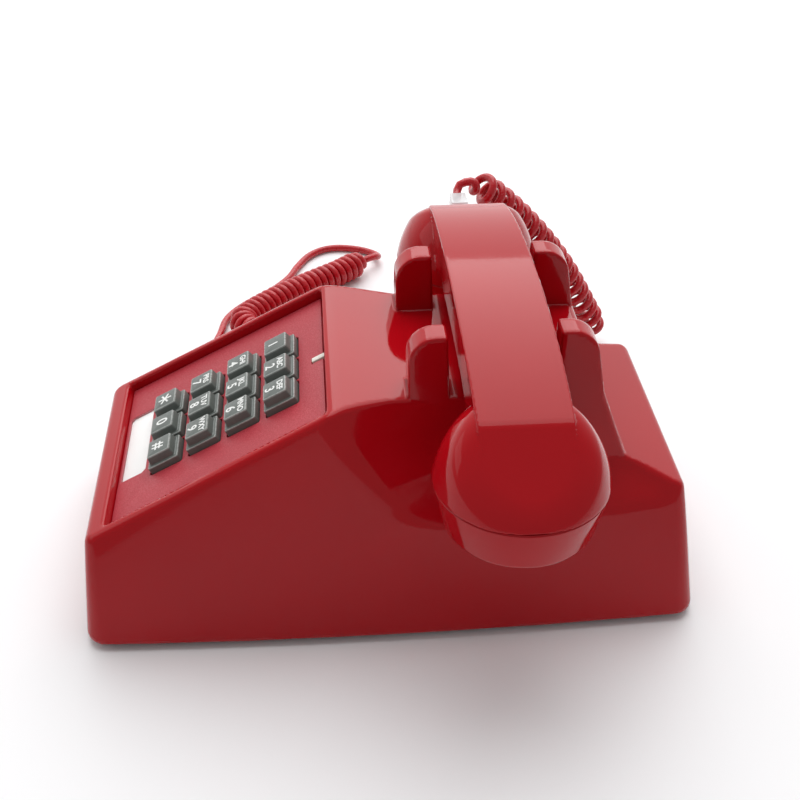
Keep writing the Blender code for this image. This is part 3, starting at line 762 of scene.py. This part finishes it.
def rubber_look():
    look = Look("rubber", (0.016, 0.016, 0.017), 0.75)
    look.tint(look.noise(3, 4), (0.045, 0.043, 0.040), 0.0, 0.6)
    look.rough(look.noise(1.0, 3), 0.6, 0.85)
    look.bump(look.noise(0.4, 3), 0.03, 0.7)
    return look.material


def steel_look():
    """Zinc-plated sheet: brushed one way, with a mottled plating."""
    look = Look("steel", (0.56, 0.56, 0.57), 0.34, 1.0)
    look.tint(look.noise(7, 4), (0.42, 0.42, 0.40), 0.0, 0.6)
    look.rough(look.noise(0.5, 3, (0.06, 1, 1)), 0.24, 0.46)
    look.bump(look.noise(0.3, 2, (0.05, 1, 1)), 0.006, 0.5)
    return look.material


def brass_look():
    look = Look("gong_brass", (0.71, 0.50, 0.22), 0.26, 1.0)
    look.tint(look.noise(9, 4), (0.48, 0.30, 0.12), 0.0, 0.7)
    look.rough(look.noise(2, 3), 0.18, 0.4)
    look.bump(look.noise(0.5, 3), 0.01, 0.5)
    return look.material


def copper_look():
    """Enamelled wire wound in even layers."""
    look = Look("copper", (0.62, 0.24, 0.10), 0.3, 1.0)
    turns = look.node("ShaderNodeTexWave", Vector=look.place, Scale=1 / (2.4 * MM), Distortion=0.3)
    look.tint(turns.outputs["Fac"], (0.30, 0.10, 0.04), 0.0, 0.9)
    look.bump(turns.outputs["Fac"], 0.12, 0.9)
    look.rough(look.noise(1.5, 3), 0.22, 0.42)
    return look.material


def board_look():
    """Green solder mask over tracks."""
    look = Look("circuit_board", (0.015, 0.15, 0.055), 0.42)
    tracks = look.node("ShaderNodeTexVoronoi", Vector=look.place, Scale=1 / (5.0 * MM))
    tracks.distance = "MANHATTAN"
    tracks.feature = "F1"
    look.tint(tracks.outputs["Distance"], (0.04, 0.26, 0.11), 0.0, 0.9, 0.42, 0.48)
    look.bump(tracks.outputs["Distance"], 0.05, 0.4)
    look.rough(look.noise(3, 3), 0.34, 0.52)
    return look.material


def black_look():
    look = Look("black_plastic", (0.020, 0.020, 0.021), 0.42)
    look.tint(look.noise(5, 3), (0.034, 0.034, 0.035), 0.0, 0.7)
    look.rough(look.noise(0.8, 3), 0.34, 0.52)
    look.bump(look.noise(0.5, 3), 0.02, 0.5)
    return look.material


def ivory_look():
    look = Look("ivory_plastic", (0.80, 0.78, 0.71), 0.38)
    look.tint(look.noise(3, 3), (0.70, 0.67, 0.58), 0.0, 0.6)
    look.rough(look.noise(0.9, 3), 0.30, 0.46)
    return look.material


LOOKS = {
    "shell_red": shell_look(),
    "panel_red": panel_look(),
    "key_grey": key_look(),
    "cord_red": cord_look(),
    "paper": paper_look(),
    "clear_plastic": clear_look(),
    "rubber": rubber_look(),
    "steel": steel_look(),
    "gong_brass": brass_look(),
    "copper": copper_look(),
    "circuit_board": board_look(),
    "black_plastic": black_look(),
    "ivory_plastic": ivory_look(),
}


def settle(piece, body, slot, *nodes):
    """A new piece rides on a body and stands for CAD nodes, which it hides; the slot argument is not used.
    """
    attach(piece, body)
    if nodes:
        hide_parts(*nodes)
    return piece


# Cord


def smooth_route(points, spacing):
    """Evenly spaced points on a smooth curve through the route's own points."""
    route = np.array(points, float)
    ends = np.vstack([2 * route[0] - route[1], route, 2 * route[-1] - route[-2]])
    dense = []
    for a, b, c, d in zip(ends, ends[1:], ends[2:], ends[3:]):
        for t in np.linspace(0, 1, 24, endpoint=False):
            dense.append(0.5 * (2 * b + (c - a) * t + (2 * a - 5 * b + 4 * c - d) * t**2
                                + (3 * b - a - 3 * c + d) * t**3))
    dense.append(route[-1])
    dense = np.array(dense)
    length = np.concatenate([[0], np.cumsum(np.linalg.norm(np.diff(dense, axis=0), axis=1))])
    count = max(int(length[-1] / spacing), 2)
    marks = np.linspace(0, length[-1], count + 1)
    return np.stack([np.interp(marks, length, dense[:, axis]) for axis in range(3)], axis=1)


def carried_frame(line, start):
    """Two directions square to a line at each of its points, carried along it without twist."""
    along = np.gradient(line, axis=0)
    along /= np.linalg.norm(along, axis=1)[:, None]
    first = np.empty_like(line)
    side = np.array(start, float)
    for index, direction in enumerate(along):
        side = side - direction * (side @ direction)
        side = side / np.linalg.norm(side)
        first[index] = side
    return first, np.cross(along, first)


def cord_line():
    """The wire's centreline: straight tails and a helix along the coiled stretch between them."""
    spacing = 0.5
    axis = smooth_route(HANDSET_TAIL + COIL_HANGING + COIL_RESTING + BASE_TAIL, spacing)
    travelled = np.concatenate([[0], np.cumsum(np.linalg.norm(np.diff(axis, axis=0), axis=1))])

    def mark(point):
        return travelled[np.argmin(np.linalg.norm(axis - np.array(point, float), axis=1))]

    start, end = mark(COIL_HANGING[0]) - 4.0, mark(COIL_RESTING[-1]) + 3.0
    drop = mark(COIL_HANGING[-2])
    growth = 12.0
    ramp = np.clip(np.minimum(travelled - start, end - travelled) / growth, 0, 1)
    grown = ramp * ramp * (3 - 2 * ramp)
    radius = (COIL - WIRE) / 2 * grown
    mixed = np.clip((travelled - drop + 20.0) / 40.0, 0, 1)
    pitch = PITCH_HANGING + (PITCH_RESTING - PITCH_HANGING) * mixed
    turn = np.concatenate([[0], np.cumsum(2 * math.pi * np.diff(travelled) * grown[1:] / pitch[1:])])
    first, second = carried_frame(axis, (0, 0, 1))
    wanted = [0.0]
    coiled = np.clip((travelled - start) / growth, 0, 1) * np.clip((end - travelled) / growth, 0, 1)
    while wanted[-1] < travelled[-1]:
        here = np.interp(wanted[-1], travelled, coiled)
        wanted.append(wanted[-1] + 3.0 + (0.26 - 3.0) * min(here * 6, 1.0))
    wanted = np.array(wanted[:-2] + [travelled[-1]])

    def read(values):
        return np.interp(wanted, travelled, values)

    line = np.stack([read(axis[:, k]) for k in range(3)], axis=1)
    across = np.stack([read(first[:, k]) for k in range(3)], axis=1)
    over = np.stack([read(second[:, k]) for k in range(3)], axis=1)
    angle, size = read(turn), read(radius)
    line += size[:, None] * (np.cos(angle)[:, None] * across + np.sin(angle)[:, None] * over)
    line[:, 2] = np.maximum(line[:, 2], WIRE / 2 + 0.1)
    return line


def tube_mesh(name, line, radius, sides, look):
    """A round tube along a line, closed at both ends."""
    first, second = carried_frame(line, (0, 0, 1))
    angles = 2 * np.pi * np.arange(sides) / sides
    cosine, sine = np.cos(angles)[None, :, None], np.sin(angles)[None, :, None]
    ring = cosine * first[:, None, :] + sine * second[:, None, :]
    points = (line[:, None, :] + radius * ring).reshape(-1, 3)
    faces = []
    for index in range(len(line) - 1):
        for side in range(sides):
            a, b = index * sides + side, index * sides + (side + 1) % sides
            faces.append((a, b, b + sides, a + sides))
    faces.append(tuple(range(sides))[::-1])
    faces.append(tuple(range(len(points) - sides, len(points))))
    return mesh_from(name, points, faces, look)


def make_plug(name, low, high):
    """A modular plug's clear block."""
    return slab(name, low, high, 0.5, plug_look(), None, 0.6)


def make_cord():
    """The curly cord and its two plugs."""
    line = cord_line()
    cord = tube_mesh("curly_cord", line, WIRE / 2, 10, LOOKS["cord_red"])
    for node, body in (("handset_plug", "handset"), ("base_plug", "base")):
        low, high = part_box(node)
        plug = make_plug(f"{node}_clear", low / MM, high / MM)
        settle(plug, body, "clear_plastic", node)
    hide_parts("cord_tail_handset", "cord_coil_hanging", "cord_coil_resting", "cord_tail_base")
    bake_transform(cord)


# Base


def make_housing():
    """The base's one-piece shell."""
    low, high = (-72.6, -123.6, 0.6), (72.6, 123.6, 121.0)
    housing = form_mesh("housing_shell", housing_form, low, high, HOUSING_CELL, LOOKS["shell_red"])
    settle(housing, "base", "shell_red", "housing")


def key_place(index):
    """A key's place across and up the faceplate."""
    row, column = divmod(index, 3)
    return (column - 1) * KEY_PITCH_X, KEYS_MIDDLE + (1.5 - row) * KEY_PITCH_Y


def card_outline(grow):
    """The number card's outline, with two of its corners cut off."""
    middle_x, middle_y = CARD_MIDDLE
    half_x, half_y = CARD_SIZE[0] / 2 + grow, CARD_SIZE[1] / 2 + grow
    corners = [
        (-half_x + CARD_CUT, -half_y), (half_x, -half_y), (half_x, half_y - CARD_CUT),
        (half_x - CARD_CUT, half_y), (-half_x, half_y), (-half_x, CARD_CUT - half_y),
    ]
    return [(middle_x + x, middle_y + y) for x, y in corners]


def make_faceplate():
    """The grained plate round the keys, its number card with a window, and its latch tab."""
    low, high = PANEL_TOP - PANEL_THICK, PANEL_TOP
    front, back = -PANEL_HALF_LENGTH + GAP, PANEL_HALF_LENGTH - 2.2
    half_front, half_back = panel_half(front) - GAP, panel_half(back) - GAP
    slot = LATCH_HALF_WIDTH + 0.4
    slot_front = PANEL_HALF_LENGTH - GAP - LATCH_LENGTH - 0.4
    outer = [(-half_front, front), (half_front, front), (half_back, back), (slot, back), (slot, slot_front),
             (-slot, slot_front), (-slot, back), (-half_back, back)]
    holes = []
    for index in range(len(KEY_NAMES)):
        x, up = key_place(index)
        edge = rounded_rectangle(KEY_SKIRT[0] / 2 + 0.55, KEY_SKIRT[1] / 2 + 0.55, 0.8, 3)
        holes.append([(x + px, up + py) for px, py in edge])
    holes.append(card_outline(0.15))
    plate = outline_plate("faceplate_grained", outer, holes, low, high, 0.35, LOOKS["panel_red"],
                          panel_matrix())
    settle(plate, "base", "panel_red", "faceplate")
    card = outline_plate("number_card_paper", card_outline(0.0), [], high - 1.4, high - 1.0, 0.05,
                         LOOKS["paper"], panel_matrix())
    settle(card, "base", "paper", "number_card")
    window = outline_plate("card_window_clear", card_outline(0.0), [], high - 0.6, high, 0.1,
                           LOOKS["clear_plastic"], panel_matrix())
    settle(window, "base", "clear_plastic", "card_window")
    latch = slab("faceplate_latch_tab", (-LATCH_HALF_WIDTH, slot_front + 0.4, low),
                 (LATCH_HALF_WIDTH, PANEL_HALF_LENGTH - 0.2, high + 0.5), 0.3, LOOKS["ivory_plastic"],
                 panel_matrix())
    settle(latch, "base", "ivory_plastic", "faceplate_latch")


def text_piece(name, words, size, u, v, w, body):
    """Raised white lettering on a key, reading up the slope."""
    curve = bpy.data.curves.new(name, "FONT")
    curve.body = words
    curve.size = size
    curve.align_x = "CENTER"
    curve.align_y = "CENTER"
    curve.extrude = 0.03
    curve.offset = 0.11
    curve.resolution_u = 3
    guide = link(name + "_guide", curve)
    graph = bpy.context.evaluated_depsgraph_get()
    mesh = bpy.data.meshes.new_from_object(guide.evaluated_get(graph))
    bpy.data.objects.remove(guide, do_unlink=True)
    shape = bmesh.new()
    shape.from_mesh(mesh)
    bpy.data.meshes.remove(mesh)
    bmesh.ops.remove_doubles(shape, verts=shape.verts, dist=0.0005)
    made = mesh_of(shape, name, MARK, panel_matrix(u, v, w))
    settle(made, body, "key_grey")


def star_piece(name, u, v, w, body):
    """A large raised six-armed star."""
    half, reach = 0.42, 3.1
    outline = []
    for arm in range(6):
        angle = math.radians(60 * arm + 30)
        along = Vector((math.cos(angle), math.sin(angle)))
        across = Vector((-along.y, along.x))
        notch = math.radians(60 * arm + 60)
        outline.append(along * reach - across * half)
        outline.append(along * reach + across * half)
        outline.append(Vector((math.cos(notch), math.sin(notch))) * 2 * half)
    star = outline_plate(name, outline, [], 0.0, 0.06, 0.01, MARK, panel_matrix(u, v, w))
    settle(star, body, "key_grey")


def make_keys():
    """Twelve stepped keys with their white legends."""
    for index, name in enumerate(KEY_NAMES):
        x, up = key_place(index)
        skirt_x, skirt_y = KEY_SKIRT[0] / 2, KEY_SKIRT[1] / 2
        cap_x, cap_y = KEY_CAP[0] / 2, KEY_CAP[1] / 2
        levels = [
            (KEY_BOTTOM, skirt_x - 0.4, skirt_y - 0.4, 0.5),
            (KEY_BOTTOM + 0.4, skirt_x, skirt_y, 0.8),
            (KEY_SKIRT_TOP - 0.45, skirt_x, skirt_y, 0.8),
            (KEY_SKIRT_TOP - 0.12, skirt_x - 0.12, skirt_y - 0.12, 0.7),
            (KEY_SKIRT_TOP, skirt_x - 0.45, skirt_y - 0.45, 0.6),
            (KEY_SKIRT_TOP, cap_x + 0.3, cap_y + 0.3, 0.8),
            (KEY_SKIRT_TOP + 0.25, cap_x, cap_y, 0.8),
            (KEY_TOP - 0.6, cap_x - 0.45, cap_y - 0.45, 0.8),
            (KEY_TOP - 0.17, cap_x - 0.62, cap_y - 0.62, 0.7),
            (KEY_TOP, cap_x - 1.05, cap_y - 1.05, 0.6),
        ]
        body = f"key_{name}"
        key = stacked(f"key_{name}_cap", levels, LOOKS["key_grey"], panel_matrix(x, up), 30)
        # The bevel bands get the paler material, a painted highlight along the keys' edges.
        key.data.materials.append(KEY_EDGE_HIGHLIGHT)
        ring = len(rounded_rectangle(1.0, 1.0, 0.5))
        for band in KEY_HIGHLIGHT_BANDS:
            for face in key.data.polygons[band * ring:(band + 1) * ring]:
                face.material_index = 1
        settle(key, body, "key_grey", body)
        letters = KEY_LETTERS[index]
        low = -2.2 if letters else (-1.0 if KEY_MARKS[index] == "1" else -0.2)
        size = 6.0 if letters or KEY_MARKS[index] == "1" else 7.4
        if name == "star":
            star_piece("key_star_mark", x, up, KEY_TOP, body)
        else:
            text_piece(f"key_{name}_mark", KEY_MARKS[index], size, x, up + low, KEY_TOP + 0.03, body)
        if letters:
            text_piece(f"key_{name}_letters", letters, 3.7, x, up + 2.4, KEY_TOP + 0.03, body)


# Handset


def make_handset():
    """The handset's moulding and its two caps."""
    low, high = (-118.0, 9.0, 86.0), (118.0, 77.0, 126.0)
    body = form_mesh("handset_moulding", handset_shell, low, high, HANDSET_CELL, LOOKS["shell_red"])
    settle(body, "handset", "shell_red", "handset_body")
    face = CAP_BOTTOM - SEAM_Z
    rim = CUP_RADIUS - 0.2
    profile = [
        (0.0, face + 3.0), (25.0, face + 3.0), (25.6, -GAP - 0.4), (26.0, -GAP), (rim - 0.5, -GAP),
        (rim, -GAP - 0.5), (rim - 0.1, -1.6), (27.3, face + 2.6), (26.8, face + 1.4), (25.9, face + 0.5),
        (24.8, face + 0.1), (23.6, face), (12.0, face + 0.25), (0.0, face + 0.3),
    ]
    for side, word in ((1, "receiver"), (-1, "transmitter")):
        centre = (CUP_X * side, HANDLE_Y, SEAM_Z)
        cap = turned(f"{word}_cap_turned", profile, centre, LOOKS["shell_red"], 128)
        drill(cap, centre, face)
        settle(cap, "handset", "shell_red", f"{word}_cap")


def drill(cap, centre, face):
    """Cuts rings of sound holes through a cap's face."""
    cutters = bmesh.new()
    rings = ((0.0, 1), (5.5, 6), (11.0, 12))
    for radius, count in rings:
        for index in range(count):
            angle = 2 * math.pi * index / count
            spot = Vector(centre) + Vector((radius * math.cos(angle), radius * math.sin(angle), face + 1.5))
            bmesh.ops.create_cone(cutters, cap_ends=True, segments=16, radius1=0.9, radius2=0.9, depth=8.0,
                                  matrix=Matrix.Translation(spot))
    cutter = mesh_of(cutters, cap.name + "_holes", None)
    cut = cap.modifiers.new("Sound holes", "BOOLEAN")
    cut.operation = "DIFFERENCE"
    cut.solver = "EXACT"
    cut.object = cutter
    graph = bpy.context.evaluated_depsgraph_get()
    mesh = bpy.data.meshes.new_from_object(cap.evaluated_get(graph))
    cap.modifiers.clear()
    cap.data = mesh
    bpy.data.objects.remove(cutter, do_unlink=True)


# Carried-over CAD nodes


def dress(node, slot, edge=0.0):
    """A CAD node whose shape is right gets its finish, and rounded edges where it is moulded or pressed."""
    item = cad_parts[node]
    item.data.materials.clear()
    item.data.materials.append(LOOKS[slot])
    for face in item.data.polygons:
        face.material_index = 0
    if edge:
        weld = item.modifiers.new("Joined corners", "WELD")
        weld.merge_threshold = 0.00001
        bevel = item.modifiers.new("Rounded edges", "BEVEL")
        bevel.width = edge * MM
        bevel.segments = 2
        bevel.limit_method = "ANGLE"
        bevel.angle_limit = math.radians(40)


def dress_the_rest():
    """Finishes for the CAD nodes that are shown as they are."""
    for corner in ("front_left", "front_right", "rear_left", "rear_right"):
        dress(f"foot_{corner}", "rubber", 0.5)
    for node in ("base_plate", "hook_lever", "hook_bracket", "ringer_frame"):
        dress(node, "steel", 0.2)
    for node in ("base_screw_left", "base_screw_right", "clapper", "hook_spring", "gong_large_post",
                 "gong_small_post", "wheel_pin", "receiver_capsule"):
        dress(node, "steel")
    for node in ("gong_large", "gong_small"):
        dress(node, "gong_brass")
    for node in ("main_board", "keypad_board"):
        dress(node, "circuit_board")
    for node in ("network_block", "keypad_frame", "hook_contacts", "line_jack", "handset_jack"):
        dress(node, "black_plastic", 0.3)
    for node in ("volume_wheel", "transmitter_capsule"):
        dress(node, "black_plastic", 0.4)
    for index in (1, 2, 3):
        dress(f"board_post_{index}", "ivory_plastic")
    for side in ("left", "right"):
        dress(f"plunger_{side}", "shell_red", 0.8)
    dress("ringer_coil", "copper")
    dress("dome_sheet", "rubber", 0.3)


# Room


def make_room():
    """A plain white floor and soft studio light from above."""
    look = Look("floor", (0.92, 0.92, 0.93), 0.55)
    look.tint(look.noise(300, 2), (0.90, 0.90, 0.91), 0.0, 1.0)
    shape = bmesh.new()
    bmesh.ops.create_grid(shape, x_segments=2, y_segments=2, size=1500.0)
    floor = mesh_of(shape, "floor", look.material, Matrix.Translation((-500, 0, 0)))
    make_sky()
    for name, place, size, power in (
        ("overhead_box", (-0.85, 0.1, 1.5), (1.6, 2.2), OVERHEAD_POWER),
        ("front_box", (-0.3, -1.6, 0.9), (1.0, 0.8), FRONT_POWER),
    ):
        data = bpy.data.lights.new(name, "AREA")
        data.shape = "RECTANGLE"
        data.size, data.size_y = size
        data.energy = power
        lamp = bpy.data.objects.new(name, data)
        lamp.location = place
        lamp.rotation_euler = (-Vector(place)).to_track_quat("-Z", "Y").to_euler()
        bpy.context.scene.collection.objects.link(lamp)


def make_sky():
    """A white studio all round that darkens towards the camera's side."""
    world = bpy.data.worlds.new("studio")
    world.use_nodes = True
    tree = world.node_tree
    place = tree.nodes.new("ShaderNodeTexCoord").outputs["Generated"]
    facing = tree.nodes.new("ShaderNodeVectorMath")
    facing.operation = "DOT_PRODUCT"
    facing.inputs[1].default_value = SKY_AXIS
    tree.links.new(place, facing.inputs[0])
    shade = tree.nodes.new("ShaderNodeMapRange")
    shade.interpolation_type = "SMOOTHSTEP"
    tree.links.new(facing.outputs["Value"], shade.inputs["Value"])
    shade.inputs["From Min"].default_value, shade.inputs["From Max"].default_value = SKY_SPREAD
    shade.inputs["To Min"].default_value = SKY_DARK
    shade.inputs["To Max"].default_value = SKY_BRIGHT
    background = tree.nodes["Background"]
    background.inputs["Color"].default_value = (1.0, 1.0, 1.0, 1.0)
    tree.links.new(shade.outputs["Result"], background.inputs["Strength"])
    bpy.context.scene.world = world
    bpy.context.scene.view_settings.view_transform = "Standard"


MARK = mark_look()
# Paler material for the key bevels: a painted edge highlight.
KEY_EDGE_HIGHLIGHT = painted_edge_highlight_look()
make_camera()
make_cord()
make_housing()
make_faceplate()
make_keys()
make_handset()
dress_the_rest()
make_room()
